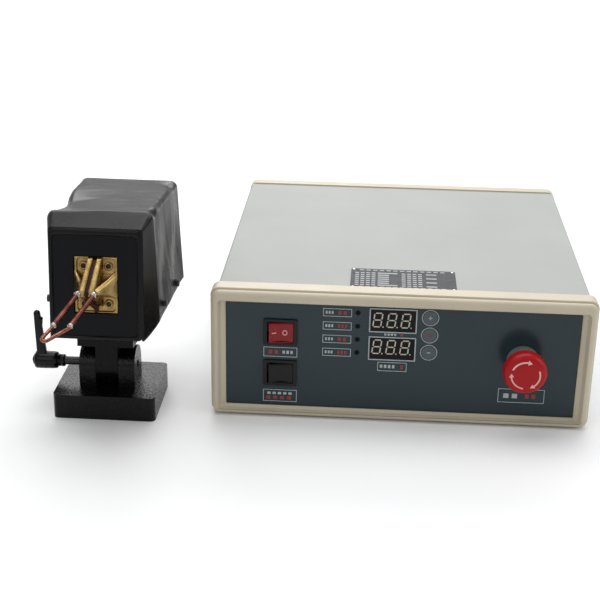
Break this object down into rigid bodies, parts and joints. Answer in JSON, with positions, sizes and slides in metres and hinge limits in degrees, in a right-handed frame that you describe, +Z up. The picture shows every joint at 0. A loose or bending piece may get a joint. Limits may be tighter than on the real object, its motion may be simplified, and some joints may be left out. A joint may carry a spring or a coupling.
{
  "type": "split induction spot joining set",
  "caption": "Bench control unit with display, keys, rockers and mushroom stop, beside a tilting power head on a clamp stand with brass terminals and a copper work coil.",
  "frame": {"origin": "middle of the set's footprint, on the bench", "axes": "+X to the operator's right, +Y away from the operator, +Z up"},
  "size_m": [0.5268, 0.505, 0.2075],
  "materials": {
    "beige_moulding": "satin moulded beige",
    "grey_cover": "fine satin powder coat",
    "zinc_steel": "zinc plated sheet",
    "blue_panel": "glossy film on sheet",
    "grey_panel": "satin powder coat",
    "rating_plate": "anodised sheet",
    "black_rubber": "matte",
    "dark_steel": "black oxide",
    "black_gloss": "semi gloss",
    "red_rocker": "glossy translucent red",
    "display_black": "smoked window",
    "green_board": "solder mask",
    "led_dark": "unlit lens",
    "key_cap": "satin film",
    "grey_collar": "satin",
    "bright_steel": "zinc",
    "red_mushroom": "glossy",
    "ivory_plastic": "satin",
    "black_plastic": "satin",
    "raw_aluminium": "extruded",
    "capacitor_blue": "shrink sleeve",
    "copper_winding": "enamelled wire",
    "transformer_steel": "varnished",
    "nickel": "nickel plate",
    "brass": "machined",
    "cast_black": "rough black paint",
    "lever_black": "textured",
    "bracket_black": "machined and blacked",
    "cover_black": "satin formed sheet",
    "face_black": "satin laminate",
    "brown_insulation": "phenolic",
    "copper": "heat tinted copper",
    "ferrite": "sintered",
    "film_capacitor": "epoxy box"
  },
  "bodies": {
    "control_unit": {"front_frame": "beige_moulding", "rear_frame": "beige_moulding", "top_cover": "grey_cover", "chassis_tray": "zinc_steel", "front_panel": "blue_panel", "rear_panel": "grey_panel", "rating_plate": "rating_plate", "rubber_feet": "black_rubber", "case_screws": "dark_steel", "power_switch_body": "black_gloss", "mode_switch_body": "black_gloss", "displays": "display_black", "control_board": "green_board", "indicator_lights": "led_dark", "stop_collar": "grey_collar", "stop_contacts": "ivory_plastic", "fan_frame": "black_plastic", "fan_guard": "bright_steel", "heatsink": "raw_aluminium", "power_modules": "black_plastic", "power_board": "green_board", "smoothing_capacitors": "capacitor_blue", "mains_choke": "copper_winding", "aux_transformer": "transformer_steel", "mains_gland": "black_plastic", "fuse_holder": "black_plastic", "output_socket": "nickel", "pedal_socket": "nickel", "earth_stud": "brass"},
    "stand": {"stand_base": "cast_black"},
    "clamp": {"clamp_stud": "bright_steel", "clamp_lever": "lever_black", "lever_cap": "dark_steel"},
    "head": {"head_bracket": "bracket_black", "bracket_screws": "bright_steel", "head_base_plate": "raw_aluminium", "head_cover": "cover_black", "head_cover_screws": "dark_steel", "face_plate": "face_black", "terminal_left": "brass", "terminal_right": "brass", "slot_insulator": "brown_insulation", "terminal_backing": "brown_insulation", "terminal_screws": "brass", "coil_leads": "copper", "work_loop": "copper", "ferrite_core": "ferrite", "primary_winding": "copper_winding", "secondary_tubes": "copper", "tank_capacitors": "film_capacitor", "head_gland": "black_plastic", "hose_barbs": "brass"},
    "power_rocker": {"power_rocker": "red_rocker"},
    "mode_rocker": {"mode_rocker": "black_gloss"},
    "plus_key": {"plus_key": "key_cap"},
    "mode_key": {"mode_key": "key_cap"},
    "minus_key": {"minus_key": "key_cap"},
    "stop_stem": {"stop_stem": "bright_steel"},
    "stop_mushroom": {"stop_mushroom": "red_mushroom"},
    "fan_rotor": {"fan_rotor": "black_plastic"}
  },
  "joints": [
    {"name": "station_slide", "type": "slide", "parent": "control_unit", "child": "stand", "axis": [-1, 0, 0], "range_m": [0, 0.3]},
    {"name": "head_tilt", "type": "hinge", "parent": "stand", "child": "head", "pos_m": [-0.1886, -0.10551, 0.042], "axis": [-1, 0, 0], "range_deg": [-25, 30]},
    {"name": "clamp_turn", "type": "hinge", "parent": "stand", "child": "clamp", "pos_m": [-0.1886, -0.10551, 0.042], "axis": [1, 0, 0], "range_deg": [-95, 95]},
    {"name": "power_rocker_tip", "type": "hinge", "parent": "control_unit", "child": "power_rocker", "pos_m": [-0.0258, -0.11251, 0.085], "axis": [0, 0, 1], "range_deg": [-16, 0]},
    {"name": "mode_rocker_tip", "type": "hinge", "parent": "control_unit", "child": "mode_rocker", "pos_m": [-0.0258, -0.11251, 0.0435], "axis": [0, 0, 1], "range_deg": [-16, 0]},
    {"name": "plus_key_press", "type": "slide", "parent": "control_unit", "child": "plus_key", "axis": [0, 1, 0], "range_m": [0, 0.0006], "stiffness_N_per_m": 1500},
    {"name": "mode_key_press", "type": "slide", "parent": "control_unit", "child": "mode_key", "axis": [0, 1, 0], "range_m": [0, 0.0006], "stiffness_N_per_m": 1500},
    {"name": "minus_key_press", "type": "slide", "parent": "control_unit", "child": "minus_key", "axis": [0, 1, 0], "range_m": [0, 0.0006], "stiffness_N_per_m": 1500},
    {"name": "stop_press", "type": "slide", "parent": "control_unit", "child": "stop_stem", "axis": [0, 1, 0], "range_m": [0, 0.004]},
    {"name": "stop_twist", "type": "hinge", "parent": "stop_stem", "child": "stop_mushroom", "pos_m": [0.1984, -0.12351, 0.066], "axis": [0, 1, 0], "range_deg": [0, 45], "stiffness_Nm_per_rad": 0.02},
    {"name": "fan_spin", "type": "hinge", "parent": "control_unit", "child": "fan_rotor", "pos_m": [0.1484, 0.19729, 0.06375], "axis": [0, 1, 0], "continuous": true}
  ]
}
